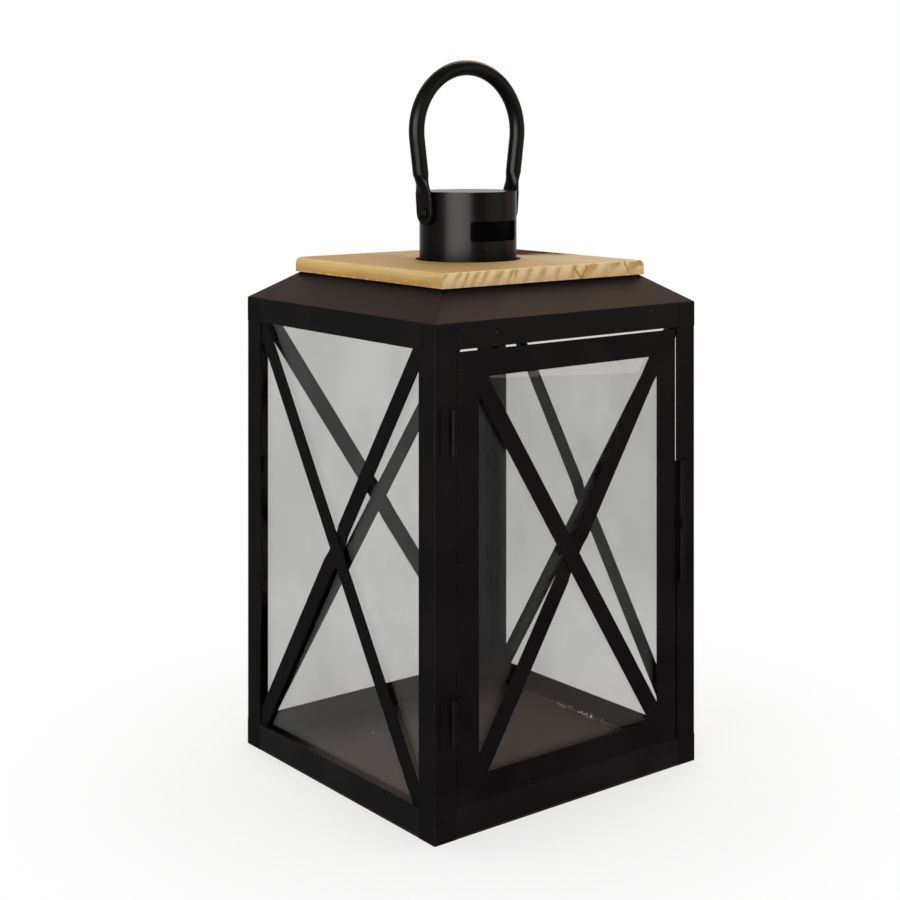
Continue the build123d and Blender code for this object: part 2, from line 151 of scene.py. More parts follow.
def powder_coat_group():
    """Powder coat: an orange-peel skin, slow patches of tone, and pale dust grains caught on it."""
    group, given, result = new_group(
        "powder_coat",
        {
            "Paint": ("NodeSocketColor", black_paint),
            "Sheen": ("NodeSocketFloat", 0.5),
            "Dust": ("NodeSocketFloat", 0.5),
        },
        {"Color": "NodeSocketColor", "Roughness": "NodeSocketFloat", "Height": "NodeSocketFloat"},
    )
    place = own_place(group)
    peel = noise_node(group, place, scale=700.0)
    patches = noise_node(group, place, scale=28.0, detail=4.0)
    tone = ramp_between(group, patches, 0.3, 0.7)
    darker = mix_colours(group, 1.0, given.outputs["Paint"], darker_patch, "MULTIPLY")
    paint = mix_colours(group, tone, darker, given.outputs["Paint"])
    grains = spots(group, place, scale=140.0, rarity=0.76, core=0.025, rim=0.06, strength=0.35)
    film = ramp_between(group, patches, 0.45, 0.8, 0.0, dust_film)
    dust = math_node(group, "ADD", grains, film)
    dust = math_node(group, "MULTIPLY", dust, given.outputs["Dust"], clamp=True)
    group.links.new(mix_colours(group, dust, paint, pale_dust), result.inputs["Color"])
    uneven = ramp_between(group, patches, 0.25, 0.75, -sheen_drift, sheen_drift)
    sheen = math_node(group, "ADD", given.outputs["Sheen"], uneven)
    group.links.new(math_node(group, "ADD", sheen, dust, clamp=True), result.inputs["Roughness"])
    group.links.new(peel, result.inputs["Height"])
    return group


powder_coat = powder_coat_group()


def coated_steel(name, sheen, dust, gloss=0.008):
    """Steel under the lantern's black powder coat, with its own sheen, dustiness and gloss."""
    material = bpy.data.materials.new(name)
    material.use_nodes = True
    tree = material.node_tree
    shader = tree.nodes["Principled BSDF"]
    shader.inputs["Specular IOR Level"].default_value = gloss
    inputs = {"Paint": black_paint, "Sheen": sheen, "Dust": dust}
    coat = add_node(tree, "ShaderNodeGroup", inputs, node_tree=powder_coat)
    bump = add_node(tree, "ShaderNodeBump", {"Height": coat.outputs["Height"], "Distance": peel_depth})
    tree.links.new(coat.outputs["Color"], shader.inputs["Base Color"])
    tree.links.new(coat.outputs["Roughness"], shader.inputs["Roughness"])
    tree.links.new(bump.outputs["Normal"], shader.inputs["Normal"])
    return material


def paint_over(material, mask, colour):
    """Lays one more colour over a coated material where a mask says so."""
    tree = material.node_tree
    shader = tree.nodes["Principled BSDF"]
    below = shader.inputs["Base Color"].links[0].from_socket
    tree.links.new(mix_colours(tree, mask, below, colour), shader.inputs["Base Color"])


def edges_at(bm, level):
    """The edges that lie at one height."""
    return [e for e in bm.edges if all(abs(v.co.z - level) < closeness for v in e.verts)]


def bend_edges(bm, edges, offset, segments=5):
    """Turns sharp edges, such as the folds of a sheet, into round bends."""
    bmesh.ops.bevel(
        bm,
        geom=edges,
        offset=offset,
        offset_type="OFFSET",
        segments=segments,
        profile=0.5,
        affect="EDGES",
        material=-1,
    )


def round_edges(bm, width):
    """Takes the sharpness off every edge that turns by more than the sharp angle."""
    sharp = [e for e in bm.edges if e.is_manifold and e.calc_face_angle() > sharp_turn]
    bend_edges(bm, sharp, width, segments=2)


def raise_edges(bm, edges, lift, spread=1.0):
    """Extrudes edges upwards, their new ends drawn in or out about the middle, and gives the new edges."""
    made = bmesh.ops.extrude_edge_only(bm, edges=edges)["geom"]
    points = [g for g in made if isinstance(g, bmesh.types.BMVert)]
    bmesh.ops.scale(bm, verts=points, vec=(spread, spread, 1))
    bmesh.ops.translate(bm, verts=points, vec=(0, 0, lift))
    return [e for e in made if isinstance(e, bmesh.types.BMEdge) and all(v in points for v in e.verts)]


def add_piece(name, bm, material, body, slot, *replaced):
    """Puts a finished shape into the scene in place of its CAD nodes."""
    mesh = bpy.data.meshes.new(name)
    bm.to_mesh(mesh)
    bm.free()
    mesh.materials.append(material)
    mesh.shade_smooth()
    mesh.set_sharp_from_angle(angle=crisp_turn)
    piece = bpy.data.objects.new(name, mesh)
    bpy.context.scene.collection.objects.link(piece)
    even = piece.modifiers.new("even_normals", "WEIGHTED_NORMAL")
    even.keep_sharp = True
    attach(piece, body)
    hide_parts(*replaced)


def dress(names, material):
    """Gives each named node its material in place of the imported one."""
    for name in names:
        nodes[name].data.materials.clear()
        nodes[name].data.materials.append(material)


bm = bmesh.new()
bmesh.ops.create_grid(bm, x_segments=1, y_segments=1, size=pan_half)
raise_edges(bm, bm.edges[:], pan_top)
bmesh.ops.recalc_face_normals(bm, faces=bm.faces[:])
bend_edges(bm, edges_at(bm, 0.0), pan_fold)
front_rim = [v for v in bm.verts if v.co.y < closeness - pan_half and v.co.z > pan_top - closeness]
bmesh.ops.translate(bm, verts=front_rim, vec=(0, 0, pan_front_rise))
bmesh.ops.solidify(bm, geom=bm.faces[:], thickness=pan_sheet)
round_edges(bm, pan_arris)

finish_depth = 0.0002
floor_dust = (0.049, 0.038, 0.032, 1)
rear_shade_from, rear_shade_to = 0.045, 0.092
floor_grains = (0.55, 0.53, 0.5, 1)
floor_hairs = (0.5, 0.47, 0.44, 1)
hair_half, hair_edge = 0.0012, 0.0032
wall_dust = (0.017, 0.0115, 0.009, 1)
glue_and_painted_glint = (0.7, 0.69, 0.67, 1)
glue_glint_middle = 0.006
# Each pair is how far the crumbs or thin trail of glue and painted glint stay whole, and how far they reach.
crumb_length, crumb_width, crumb_height = (0.01, 0.034), (0.0012, 0.0022), (0.0012, 0.0024)
trail_length, trail_width, trail_height = (0.04, 0.07), (0.0003, 0.0007), (0.0006, 0.0011)
trail_strength = 0.1
pan_coat = coated_steel("pan_coat", sheen=0.4, dust=1.0, gloss=0.019)
tree = pan_coat.node_tree
across, along, height, place = split_place(tree)
above_floor = math_node(tree, "SUBTRACT", height, pan_sheet)
on_floor = fade(tree, math_node(tree, "ABSOLUTE", above_floor), 0.5 * finish_depth, 1.5 * finish_depth)
uneven = ramp_between(tree, noise_node(tree, place, scale=45.0, detail=4.0), 0.25, 0.75, 0.75, 1.0)
# The dust thins towards the rear wall, which paints the shade at the foot of that wall.
dust_thinned_as_rear_shade = ramp_between(tree, along, rear_shade_from, rear_shade_to, 1.0, 0.1)
paint_over(pan_coat, product(tree, on_floor, uneven, dust_thinned_as_rear_shade), floor_dust)
grains = spots(tree, place, scale=85.0, rarity=0.7, core=0.02, rim=0.045, strength=0.7)
paint_over(pan_coat, product(tree, grains, on_floor), floor_grains)
off_hair = distance_from(tree, noise_node(tree, place, scale=17.0), 0.5)
hairs = fade(tree, off_hair, hair_half, hair_edge, strength=0.3)
broken = ramp_between(tree, noise_node(tree, place, scale=60.0), 0.54, 0.6)
paint_over(pan_coat, product(tree, hairs, on_floor, broken), floor_hairs)
reach = math_node(tree, "MAXIMUM", math_node(tree, "ABSOLUTE", across), math_node(tree, "ABSOLUTE", along))
inner_faces = fade(tree, reach, pan_inside + finish_depth, pan_inside + 2 * finish_depth)
up_the_wall = ramp_between(tree, above_floor, finish_depth, 3 * finish_depth, 0.0, 0.8)
paint_over(pan_coat, product(tree, inner_faces, up_the_wall), wall_dust)
from_wall = math_node(tree, "SUBTRACT", pan_inside, across)
inside_wall = ramp_between(tree, from_wall, -2 * finish_depth, -finish_depth)
over_floor = ramp_between(tree, above_floor, -1.5 * finish_depth, -0.5 * finish_depth)
# Pale crumbs and a thin trail at the foot of the right wall: dried glue, with a painted glint on it.
from_glue_glint = distance_from(tree, along, glue_glint_middle)
trail = product(tree, fade(tree, from_wall, *trail_width), fade(tree, above_floor, *trail_height))
trail = product(tree, trail, fade(tree, from_glue_glint, *trail_length, trail_strength))
at_foot = product(tree, fade(tree, from_wall, *crumb_width), fade(tree, above_floor, *crumb_height))
crumbs = spots(tree, place, scale=420.0, rarity=0.4, core=0.32, rim=0.5)
crumbs = product(tree, crumbs, at_foot, fade(tree, from_glue_glint, *crumb_length))
glue_and_glint_mask = product(tree, inside_wall, over_floor, math_node(tree, "MAXIMUM", crumbs, trail))
paint_over(pan_coat, glue_and_glint_mask, glue_and_painted_glint)
add_piece("pan_sheet", bm, pan_coat, "lantern", "black_paint", "base_pan")

# Corner posts: angle strips of the same coated sheet, folded along the corner and welded to the pan and
# the hood, whose walls are flush with them.
post_names = ["post_front_left", "post_front_right", "post_rear_right", "post_rear_left"]
post_leg = 0.015
post_sheet = 0.001
post_fold = 0.0008
post_arris = 0.0001
post_low, post_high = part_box(post_names[0])
post_coat = coated_steel("post_coat", sheen=0.48, dust=0.3)
for turn, name in enumerate(post_names):
    bm = bmesh.new()
    corner = bm.verts.new(post_low)
    for leg in ((post_leg, 0, 0), (0, post_leg, 0)):
        bm.edges.new((corner, bm.verts.new(post_low + Vector(leg))))
    raise_edges(bm, bm.edges[:], post_high.z - post_low.z)
    bmesh.ops.recalc_face_normals(bm, faces=bm.faces[:])
    bm.normal_update()
    if any(f.normal.x + f.normal.y > 0 for f in bm.faces):
        bmesh.ops.reverse_faces(bm, faces=bm.faces[:])
    bend_edges(bm, [e for e in bm.edges if e.is_manifold], post_fold)
    bmesh.ops.solidify(bm, geom=bm.faces[:], thickness=post_sheet)
    round_edges(bm, post_arris)
    bmesh.ops.rotate(bm, verts=bm.verts, cent=(0, 0, 0), matrix=Matrix.Rotation(turn * pi / 2, 3, "Z"))
    add_piece(f"{name}_angle", bm, post_coat, "lantern", "black_paint", name)

# Hood: four slopes with turned-down skirts, flush with the posts, and a flat top with the flue's hole, folded
# from one coated sheet and welded along the hips, where a fine dark seam shows. Dust lies on the slopes.
hood_low, hood_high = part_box("roof_hood")
hood_half = pan_half
skirt_drop = 0.0008
skirt_bottom = hood_low.z - skirt_drop
eave_height = 0.284
hood_plate_half = 0.0755
flue_radius = 0.0306
flue_sides = 72
hood_sheet = 0.001
hood_bend = 0.0009
hood_arris = 0.00015
eave_turn = radians(56)
plate_turn = radians(34)
seam_half, seam_edge = 0.0003, 0.0006
seam_from, seam_whole = eave_height - 0.001, eave_height + 0.0005
dark_seam = (0.0008, 0.0008, 0.0008, 1)


def cut_round_hole(bm, face, radius, sides):
    """Opens a round hole about the upright axis in a level face."""
    level = face.calc_center_median().z
    rim = face.edges[:]
    bmesh.ops.delete(bm, geom=[face], context="FACES_ONLY")
    hole = bmesh.ops.create_circle(bm, segments=sides, radius=radius)["verts"]
    bmesh.ops.translate(bm, verts=hole, vec=(0, 0, level))
    rim += list(dict.fromkeys(e for v in hole for e in v.link_edges))
    bmesh.ops.triangle_fill(bm, edges=rim, use_beauty=True, normal=(0, 0, 1))


bm = bmesh.new()
bmesh.ops.create_grid(bm, x_segments=1, y_segments=1, size=hood_half)
bmesh.ops.translate(bm, verts=bm.verts, vec=(0, 0, skirt_bottom))
bmesh.ops.delete(bm, geom=bm.faces[:], context="FACES_ONLY")
eave_edges = raise_edges(bm, bm.edges[:], eave_height - skirt_bottom)
plate_edges = raise_edges(bm, eave_edges, hood_high.z - eave_height, hood_plate_half / hood_half)
bmesh.ops.contextual_create(bm, geom=plate_edges)
bmesh.ops.recalc_face_normals(bm, faces=bm.faces[:])
bend_edges(bm, edges_at(bm, eave_height), hood_bend * tan(eave_turn / 2))
bend_edges(bm, edges_at(bm, hood_high.z), hood_bend * tan(plate_turn / 2))
plate = max(bm.faces, key=lambda f: f.calc_center_median().z)
cut_round_hole(bm, plate, flue_radius, flue_sides)
bmesh.ops.recalc_face_normals(bm, faces=bm.faces[:])
bmesh.ops.solidify(bm, geom=bm.faces[:], thickness=hood_sheet)
round_edges(bm, hood_arris)
hood_coat = coated_steel("hood_coat", sheen=0.46, dust=0.8, gloss=0.012)
tree = hood_coat.node_tree
across, along, height, place = split_place(tree)
off_hip = distance_from(tree, math_node(tree, "ABSOLUTE", across), math_node(tree, "ABSOLUTE", along))
above_eave = ramp_between(tree, height, seam_from, seam_whole)
paint_over(hood_coat, product(tree, fade(tree, off_hip, seam_half, seam_edge), above_eave), dark_seam)
add_piece("hood_sheet", bm, hood_coat, "lantern", "black_paint", "roof_hood")

# Wood top: three pine staves edge-glued into a square board, its grain running front to back, its long edges
# rounded over and its ends sawn. Bark is left at the right rear corner. Screws hold it from below.
board_low, board_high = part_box("wood_top")
board_half = board_high.x
board_hole_radius = 0.033
board_hole_sides = 96
hole_frame_spread = 1.8
board_round_over = 0.004
board_arris = 0.0004
bm = bmesh.new()
bmesh.ops.create_grid(bm, x_segments=3, y_segments=3, size=board_half)
middle = min(bm.faces, key=lambda f: f.calc_center_median().length)
bmesh.ops.scale(bm, verts=middle.verts, vec=(hole_frame_spread, hole_frame_spread, 1))
cut_round_hole(bm, middle, board_hole_radius, board_hole_sides)
bmesh.ops.translate(bm, verts=bm.verts, vec=(0, 0, board_high.z))
bm.normal_update()
if any(f.normal.z < 0 for f in bm.faces):
    bmesh.ops.reverse_faces(bm, faces=bm.faces[:])
bmesh.ops.solidify(bm, geom=bm.faces[:], thickness=board_high.z - board_low.z)
top_edges = edges_at(bm, board_high.z)
long_edges = [e for e in top_edges if all(abs(v.co.x) > board_half - closeness for v in e.verts)]
bend_edges(bm, long_edges, board_round_over, segments=8)
round_edges(bm, board_arris)

stave_joint = 0.026
# Each stave's rings: the place of their pith, across and up, and their spacing.
stave_rings = (((-0.28, 0.43), 0.0067), ((-0.33, 0.45), 0.0103), ((-0.09, 0.445), 0.0145))
stave_tints = ((0.395, 0.262, 0.1, 1), (0.44, 0.32, 0.155, 1), (0.48, 0.385, 0.215, 1))
low_edge, high_edge = (0.5, 0.28, 0.075, 1), (0.62, 0.445, 0.18, 1)
low_end, high_end = (0.62, 0.42, 0.225, 1), (0.75, 0.575, 0.3, 1)
late_face, late_end = (0.24, 0.145, 0.055, 1), (0.44, 0.245, 0.075, 1)
knot_place, knot_reach = (-0.041, 0.053), (0.026, 0.034)
knot_swerve = 0.02
ring_wave = 0.003
pale_arris = 0.001
grey_cloud = (0.33, 0.235, 0.11, 1)
open_pore = (0.33, 0.16, 0.05, 1)
dark_fleck = (0.1, 0.055, 0.02, 1)
torn_fibre = (0.76, 0.58, 0.36, 1)
fresh_arris = (0.8, 0.62, 0.36, 1)
glue_line = (0.2, 0.11, 0.04, 1)
dark_resin = (0.36, 0.16, 0.035, 1)
resin_strength = 0.75
streak_shake = 0.0007
streak_end = 0.001
bark_place, bark_reach = (0.076, 0.05), (0.054, 0.066)
bark_core_place, bark_core_reach = (0.076, 0.052), (0.046, 0.058)
bark_edge = (0.26, 0.13, 0.035, 1)
bark_hollow, bark_ridge = (0.018, 0.01, 0.006, 1), (0.075, 0.038, 0.015, 1)
bark_edge_strength = 0.7
early_roughness, late_roughness, bark_roughness = 0.62, 0.5, 0.45
grain_depth = 0.00008
# Each pair is how far from a face or a joint a finish stays whole, and how far it reaches.
end_depth, top_depth, resin_depth = (0.0001, 0.0003), (0.0001, 0.0004), (0.0002, 0.0006)
arris_length, arris_depth = (0.0004, 0.0008), (0.0004, 0.0009)
splinter_height, joint_width = (0.0004, 0.0013), (0.00005, 0.0002)
pine = bpy.data.materials.new("pine")
pine.use_nodes = True
tree = pine.node_tree
shader = tree.nodes["Principled BSDF"]
shader.inputs["Specular IOR Level"].default_value = 0.02
across, along, height, place = split_place(tree)
above_underside = math_node(tree, "SUBTRACT", height, board_low.z)
below_top = math_node(tree, "SUBTRACT", board_high.z, height)
from_front = math_node(tree, "ADD", along, board_half)
from_end = math_node(tree, "SUBTRACT", board_half, math_node(tree, "ABSOLUTE", along))


def sum_of_squares(tree, first, second):
    """Two values squared and added."""
    return math_node(tree, "ADD", product(tree, first, first), product(tree, second, second))


def late_wood(tree, pith, spacing, wander):
    """Dark bands of late wood in the growth rings about a pith line that runs front to back."""
    sideways = math_node(tree, "SUBTRACT", across, pith[0])
    upwards = math_node(tree, "SUBTRACT", height, pith[1])
    reach = math_node(tree, "SQRT", sum_of_squares(tree, sideways, upwards))
    ring = math_node(tree, "DIVIDE", math_node(tree, "ADD", reach, wander), spacing)
    ring = math_node(tree, "FRACT", ring)
    return product(tree, ramp_between(tree, ring, 0.25, 0.6), fade(tree, ring, 0.7, 0.95))


def oval(tree, middle, reach, edge, ragged=0.0):
    """A soft-edged oval on the board's top, 1 inside and 0 outside, with a ragged outline where asked."""
    sideways = math_node(tree, "DIVIDE", math_node(tree, "SUBTRACT", across, middle[0]), reach[0])
    lengthways = math_node(tree, "DIVIDE", math_node(tree, "SUBTRACT", along, middle[1]), reach[1])
    away = math_node(tree, "ADD", sum_of_squares(tree, sideways, lengthways), ragged)
    return fade(tree, away, 1.0 - edge, 1.0 + edge)


def by_stave(tree, left, middle, right):
    """Chooses a colour or value by the stave that a point is on."""
    chosen = mix_colours(tree, math_node(tree, "GREATER_THAN", across, -stave_joint), left, middle)
    return mix_colours(tree, math_node(tree, "GREATER_THAN", across, stave_joint), chosen, right)


def streak(tree, foot, lean, width, lowest, highest):
    """A resin streak in the front end grain, leaning from a foot on the underside, between two heights."""
    off = math_node(tree, "SUBTRACT", across, foot)
    off = math_node(tree, "SUBTRACT", off, product(tree, above_underside, lean))
    unsteady = noise_node(tree, place, scale=420.0, detail=3.0)
    shake = ramp_between(tree, unsteady, 0.3, 0.7, -streak_shake, streak_shake)
    off = math_node(tree, "ABSOLUTE", math_node(tree, "ADD", off, shake))
    above_lowest = ramp_between(tree, above_underside, lowest, lowest + streak_end)
    below_highest = fade(tree, above_underside, highest - streak_end, highest)
    front = fade(tree, from_front, *resin_depth)
    return product(tree, fade(tree, off, 0.3 * width, width), above_lowest, below_highest, front)


waves = noise_node(tree, place, scale=38.0, stretch=(1, 0.2, 0.6))
wave = ramp_between(tree, waves, 0.25, 0.75, -ring_wave, ring_wave)
knot = oval(tree, knot_place, knot_reach, edge=0.9)
wander = math_node(tree, "ADD", wave, product(tree, knot, knot_swerve))
late = by_stave(tree, *(late_wood(tree, pith, spacing, wander) for pith, spacing in stave_rings))
end_grain = fade(tree, from_end, *end_depth)
face_grain = math_node(tree, "SUBTRACT", 1.0, end_grain)
on_top = product(tree, fade(tree, below_top, *top_depth), face_grain)
up_the_edge = ramp_between(tree, height, board_low.z, board_high.z - pale_arris)
face_contrast = ramp_between(tree, knot, 0.0, 1.0, 0.3, 0.7)
end_contrast = ramp_between(tree, up_the_edge, 0.3, 0.9, 0.5, 0.9)
contrast = mix_colours(tree, end_grain, face_contrast, end_contrast)
patchy = ramp_between(tree, noise_node(tree, place, scale=95.0), 0.3, 0.6, 0.45, 1.0)
edge_tint = mix_colours(tree, up_the_edge, low_edge, high_edge)
end_tint = mix_colours(tree, up_the_edge, low_end, high_end)
spring = mix_colours(tree, on_top, edge_tint, by_stave(tree, *stave_tints))
spring = mix_colours(tree, end_grain, spring, end_tint)
summer = mix_colours(tree, end_grain, late_face, late_end)
colour = mix_colours(tree, product(tree, late, patchy, contrast), spring, summer)
fibres = noise_node(tree, place, scale=900.0, detail=3.0, stretch=(1, 0.03, 1))
fibre = ramp_between(tree, fibres, 0.3, 0.7, 0.92, 1.06)
fibred = mix_colours(tree, 1.0, colour, fibre, "MULTIPLY")
colour = mix_colours(tree, ramp_between(tree, end_grain, 0.0, 1.0, 1.0, 0.4), colour, fibred)
clouds = noise_node(tree, place, scale=22.0, stretch=(1, 0.5, 1))
cloud = ramp_between(tree, clouds, 0.4, 0.7, 0.0, 0.35)
colour = mix_colours(tree, product(tree, cloud, on_top), colour, grey_cloud)
pores = spots(tree, place, scale=600.0, rarity=0.78, core=0.1, rim=0.3, strength=0.5)
colour = mix_colours(tree, product(tree, pores, end_grain), colour, open_pore)
flecks = spots(tree, place, scale=75.0, rarity=0.8, core=0.05, rim=0.1, strength=0.8)
colour = mix_colours(tree, product(tree, flecks, on_top), colour, dark_fleck)
splinters = ramp_between(tree, noise_node(tree, place, scale=260.0, detail=3.0), 0.5, 0.62)
low_down = fade(tree, above_underside, *splinter_height, strength=0.7)
colour = mix_colours(tree, product(tree, splinters, low_down), colour, torn_fibre)
sawn_arris = fade(tree, from_end, *arris_length)
sawn_arris = product(tree, sawn_arris, fade(tree, below_top, *arris_depth, strength=0.5))
colour = mix_colours(tree, sawn_arris, colour, fresh_arris)
resin = 0.0
for foot, lean, width, lowest, highest in (
    (0.0265, -0.85, 0.0019, -0.001, 0.0072),
    (0.0265, 0.5, 0.0015, -0.001, 0.0085),
    (0.0655, -0.5, 0.001, 0.002, 0.01),
    (0.0775, -0.35, 0.0028, 0.005, 0.01),
):
    resin = math_node(tree, "MAXIMUM", resin, streak(tree, foot, lean, width, lowest, highest))
colour = mix_colours(tree, product(tree, resin, resin_strength), colour, dark_resin)
from_joint = distance_from(tree, math_node(tree, "ABSOLUTE", across), stave_joint)
colour = mix_colours(tree, fade(tree, from_joint, *joint_width, strength=0.3), colour, glue_line)
torn = noise_node(tree, place, scale=240.0, detail=4.0, stretch=(1, 0.15, 1))
ragged = ramp_between(tree, torn, 0.25, 0.75, -0.22, 0.22)
bark_rim = oval(tree, bark_place, bark_reach, edge=0.3, ragged=ragged)
bark_core = oval(tree, bark_core_place, bark_core_reach, edge=0.18, ragged=ragged)
colour = mix_colours(tree, product(tree, bark_rim, bark_edge_strength), colour, bark_edge)
ridges = noise_node(tree, place, scale=320.0, detail=4.0, stretch=(1, 0.08, 1))
bark_tint = mix_colours(tree, ramp_between(tree, ridges, 0.35, 0.7), bark_hollow, bark_ridge)
colour = mix_colours(tree, bark_core, colour, bark_tint)
tree.links.new(colour, shader.inputs["Base Color"])
roughness = ramp_between(tree, late, 0.0, 1.0, early_roughness, late_roughness)
rougher_bark = product(tree, bark_rim, bark_roughness)
roughness = math_node(tree, "ADD", roughness, rougher_bark, clamp=True)
tree.links.new(roughness, shader.inputs["Roughness"])
grain_height = math_node(tree, "ADD", product(tree, fibre, 0.5), product(tree, late, 0.3))
bump = add_node(tree, "ShaderNodeBump", {"Height": grain_height, "Distance": grain_depth})
tree.links.new(bump.outputs["Normal"], shader.inputs["Normal"])
add_piece("pine_board", bm, pine, "lantern", "pine", "wood_top")

dull_steel, bright_steel = (0.36, 0.35, 0.33, 1), (0.52, 0.51, 0.49, 1)
screw_steel = bpy.data.materials.new("screw_steel")
screw_steel.use_nodes = True
tree = screw_steel.node_tree
shader = tree.nodes["Principled BSDF"]
shader.inputs["Metallic"].default_value = 1.0
wear = noise_node(tree, own_place(tree), scale=400.0, detail=4.0)
tree.links.new(mix_colours(tree, wear, dull_steel, bright_steel), shader.inputs["Base Color"])
tree.links.new(ramp_between(tree, wear, 0.3, 0.7, 0.3, 0.5), shader.inputs["Roughness"])
dress(["wood_top_screws"], screw_steel)

# Chimney: a flanged steel tube with a vent slot front and back, closed by a disc, all powder-coated black
# and a little smoother than the body. It stands in the hood's flue hole and passes up through the board.
chimney_coat = coated_steel("chimney_coat", sheen=0.26, dust=0.4, gloss=0.02)
dress(["chimney_tube", "chimney_lid"], chimney_coat)

# Handle: a steel tube bent into a bow, pressed flat at both ends and hung on two domed rivets through the
# chimney, painted with it.
handle_coat = coated_steel("handle_coat", sheen=0.28, dust=0.2, gloss=0.018)
dress(["handle"], handle_coat)
rivet_coat = coated_steel("rivet_coat", sheen=0.5, dust=0.2)
dress(["handle_rivets"], rivet_coat)

# Cross braces: flat strips of coated steel on the diagonals of three sides and the door, one joggled where
# it crosses the other. They are welded on, and lap behind the posts.
brace_coat = coated_steel("brace_coat", sheen=0.46, dust=0.25)
sides = ["left", "right", "rear", "door"]
dress([f"{side}_brace_{layer}" for side in sides for layer in ("under", "over")], brace_coat)

# Panes: thin clear sheet glass behind the braces, a little dusty and smeared in soft clouds. Their grey tint
# and clouds are partly smears and partly painted shade of what lies behind them, and the door's pane is
# painted lighter low down and darker high up. Bent steel tabs hold each one from inside.
# The panes' grey tint and its soft clouds are partly smears and partly painted shade of what is seen through
# them.
shaded_smeared_glass, shaded_clean_glass = (0.64, 0.64, 0.63, 1), (0.705, 0.705, 0.695, 1)
glass_shadow = (0.72, 0.72, 0.71, 1)
door_pane_before = -0.09
# The door's pane is painted lighter low down and darker high up: painted light and painted shade.
door_light_height, door_shade_height = 0.05, 0.16
low_door_light, high_door_shade = 1.075, 0.94
glass = bpy.data.materials.new("pane_glass")
glass.use_nodes = True
tree = glass.node_tree
shader = tree.nodes["Principled BSDF"]
shader.inputs["Roughness"].default_value = 0.0
shader.inputs["IOR"].default_value = 1.2
shader.inputs["Transmission Weight"].default_value = 1.0
across, along, height, place = split_place(tree)
smears_and_shade = noise_node(tree, place, scale=16.0, detail=3.0, stretch=(1, 1, 0.8))
tint = mix_colours(tree, ramp_between(tree, smears_and_shade, 0.35, 0.65), shaded_smeared_glass, shaded_clean_glass)
on_door = math_node(tree, "LESS_THAN", along, door_pane_before)
door_light_and_shade = ramp_between(tree, height, door_light_height, door_shade_height, low_door_light, high_door_shade)
tint = mix_colours(tree, on_door, tint, mix_colours(tree, 1.0, tint, door_light_and_shade, "MULTIPLY"))
tree.links.new(tint, shader.inputs["Base Color"])
clear = add_node(tree, "ShaderNodeBsdfTransparent", {"Color": glass_shadow})
path = tree.nodes.new("ShaderNodeLightPath")
through = add_node(
    tree,
    "ShaderNodeMixShader",
    {0: path.outputs["Is Shadow Ray"], 1: shader.outputs["BSDF"], 2: clear.outputs["BSDF"]},
)
tree.links.new(through.outputs["Shader"], tree.nodes["Material Output"].inputs["Surface"])
dress([f"{side}_pane" for side in sides], glass)
tab_coat = coated_steel("tab_coat", sheen=0.5, dust=0.3)
dress([f"{side}_pane_tabs" for side in sides], tab_coat)

# Door: four strips of coated sheet butted and welded into a frame, whose joints show as faint lines, and a
# stop strip on the post behind its latch side.
door_arris = 0.0001
door_coat = coated_steel("door_coat", sheen=0.47, dust=0.3)
for name in ("door_hinge_stile", "door_latch_stile", "door_top_rail", "door_bottom_rail"):
    low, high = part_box(name)
    bm = bmesh.new()
    bmesh.ops.create_cube(bm, size=1.0)
    bmesh.ops.scale(bm, verts=bm.verts, vec=high - low)
    bmesh.ops.translate(bm, verts=bm.verts, vec=(low + high) / 2)
    round_edges(bm, door_arris)
    add_piece(f"{name}_strip", bm, door_coat, "door", "black_paint", name)
dress(["door_stop"], door_coat)

# Hinges and latch: small rolled butt hinges, and a turning tongue on a pin between two eyes, all painted
# with the body after they were fixed.
hinge_coat = coated_steel("hinge_coat", sheen=0.46, dust=0.25)
for level in ("upper", "lower"):
    dress([f"{level}_hinge_{part}" for part in ("post_leaf", "door_leaf", "pin")], hinge_coat)
dress(["latch_upper_eye", "latch_lower_eye", "latch_pin", "latch_tongue"], hinge_coat)

# Studio: a pale floor that turns white away from the lantern, white surroundings and three soft lamps. A
# broad panel at the left and warm ones above, behind and at the right only show as highlights on the paint.
floor_reach = 6.0
floor_tint = (0.9, 0.9, 0.9, 1)
pure_white = (1, 1, 1, 1)
white_from, white_to = 0.1, 0.32
least_white = 0.6
world_light = 0.7
lantern_middle = Vector((0, 0, 0.25))
panel_spread = radians(110)


def seen_directly(tree):
    """1 for rays that come from the camera, by way of a gloss or through glass."""
    path = tree.nodes.new("ShaderNodeLightPath")
    seen = math_node(tree, "MAXIMUM", path.outputs["Is Camera Ray"], path.outputs["Is Glossy Ray"])
    return math_node(tree, "MAXIMUM", seen, path.outputs["Is Transmission Ray"])


bm = bmesh.new()
bmesh.ops.create_grid(bm, x_segments=1, y_segments=1, size=floor_reach)
mesh = bpy.data.meshes.new("floor")
bm.to_mesh(mesh)
bm.free()
floor = bpy.data.objects.new("floor", mesh)
bpy.context.scene.collection.objects.link(floor)
floor_paint = bpy.data.materials.new("floor_paint")
floor_paint.use_nodes = True
tree = floor_paint.node_tree
shader = tree.nodes["Principled BSDF"]
shader.inputs["Base Color"].default_value = floor_tint
shader.inputs["Roughness"].default_value = 0.9
shader.inputs["Specular IOR Level"].default_value = 0.0
distance = add_node(tree, "ShaderNodeVectorMath", {0: own_place(tree)}, operation="LENGTH")
far = ramp_between(tree, distance.outputs["Value"], white_from, white_to, least_white, 1.0)
white = add_node(tree, "ShaderNodeEmission", {"Color": pure_white, "Strength": 1.0})
shown = add_node(
    tree,
    "ShaderNodeMixShader",
    {0: product(tree, seen_directly(tree), far), 1: shader.outputs["BSDF"], 2: white.outputs["Emission"]},
)
tree.links.new(shown.outputs["Shader"], tree.nodes["Material Output"].inputs["Surface"])
mesh.materials.append(floor_paint)

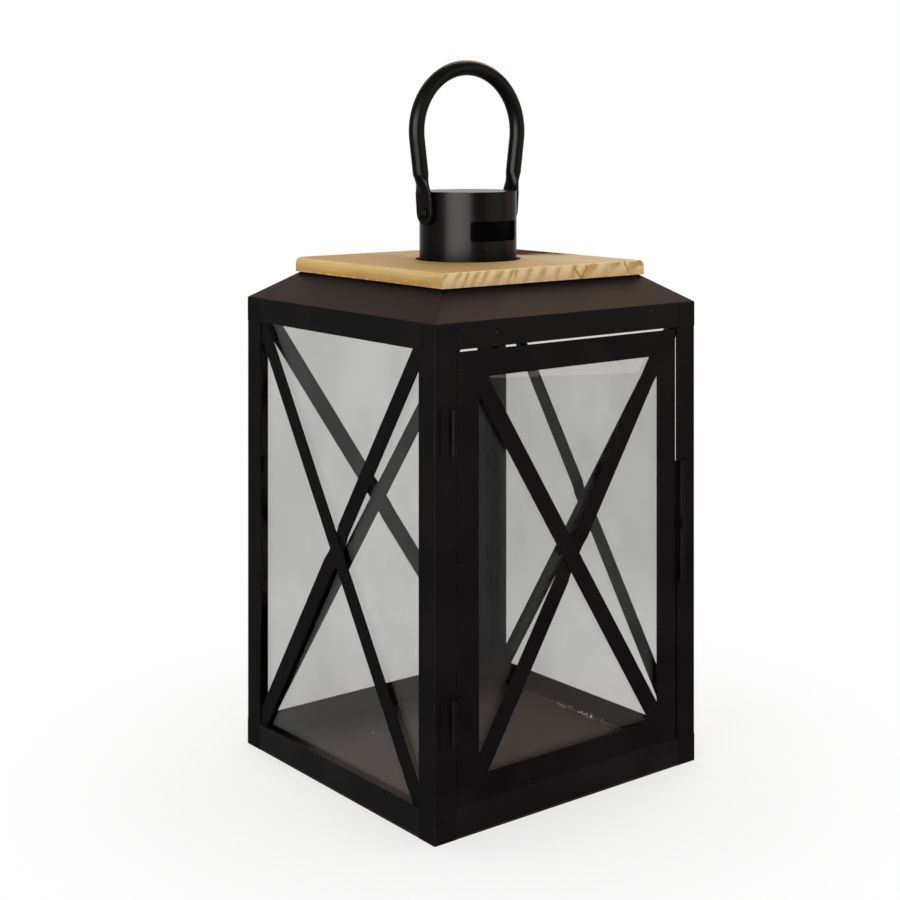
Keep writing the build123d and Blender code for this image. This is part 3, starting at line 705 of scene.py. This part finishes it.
world = bpy.data.worlds.new("studio")
bpy.context.scene.world = world
world.use_nodes = True
tree = world.node_tree
background = tree.nodes["Background"]
background.inputs["Color"].default_value = pure_white
strength = ramp_between(tree, seen_directly(tree), 0.0, 1.0, world_light, 1.0)
tree.links.new(strength, background.inputs["Strength"])


def softbox(name, place, size, power, colour):
    """An area lamp that faces the lantern and isn't seen by the camera."""
    data = bpy.data.lights.new(name, "AREA")
    data.shape = "RECTANGLE"
    data.size, data.size_y = size
    data.energy = power
    data.color = colour
    lamp = bpy.data.objects.new(name, data)
    bpy.context.scene.collection.objects.link(lamp)
    lamp.location = place
    lamp.rotation_euler = (lantern_middle - Vector(place)).to_track_quat("-Z", "Y").to_euler()
    lamp.visible_camera = False
    return lamp


for name, place, size, power, colour in (
    ("overhead_softbox", (0.4, 0.3, 1.6), (1.2, 1.2), 4.0, (1, 0.95, 0.88)),
    ("left_softbox", (-1.7, -0.6, 0.9), (1.0, 1.0), 10.0, (1, 0.97, 0.94)),
    ("front_softbox", (-0.2, -1.8, 0.9), (1.0, 1.0), 4.0, (1, 0.97, 0.94)),
):
    softbox(name, place, size, power, colour).visible_glossy = False
for name, place, size, power, colour in (
    ("left_panel", (-1.31, -0.72, 0.38), (1.7, 1.3), 160.0, (1, 0.93, 0.94)),
    ("ceiling_panel", (0.95, 0.5, 1.55), (1.2, 1.2), 26.0, (1, 0.7, 0.52)),
    ("back_panel", (0.25, 1.35, 1.25), (1.0, 1.0), 4.0, (1, 0.66, 0.54)),
    ("right_panel", (0.75, -1.5, 0.4), (1.4, 1.4), 14.0, (1, 0.86, 0.82)),
    ("far_right_panel", (1.4, -0.6, 0.4), (0.7, 0.9), 2.3, (1, 0.55, 0.46)),
):
    lamp = softbox(name, place, size, power, colour)
    lamp.visible_diffuse = False
    lamp.visible_transmission = False
    lamp.data.spread = panel_spread

# Camera: level, so that the lantern's upright edges stay parallel, at the photograph's place, with the lens
# shifted down to take in the base.
camera_data = bpy.data.cameras.new("camera")
camera_data.sensor_width = 36.0
camera_data.lens = 67.08
camera_data.shift_x = -0.0678
camera_data.shift_y = -0.3577
camera = bpy.data.objects.new("camera", camera_data)
bpy.context.scene.collection.objects.link(camera)
camera.location = (-0.6436, -0.8339, 0.3913)
camera.rotation_euler = (pi / 2, 0, radians(-39.13))
bpy.context.scene.camera = camera
bpy.context.scene.view_settings.view_transform = "Standard"
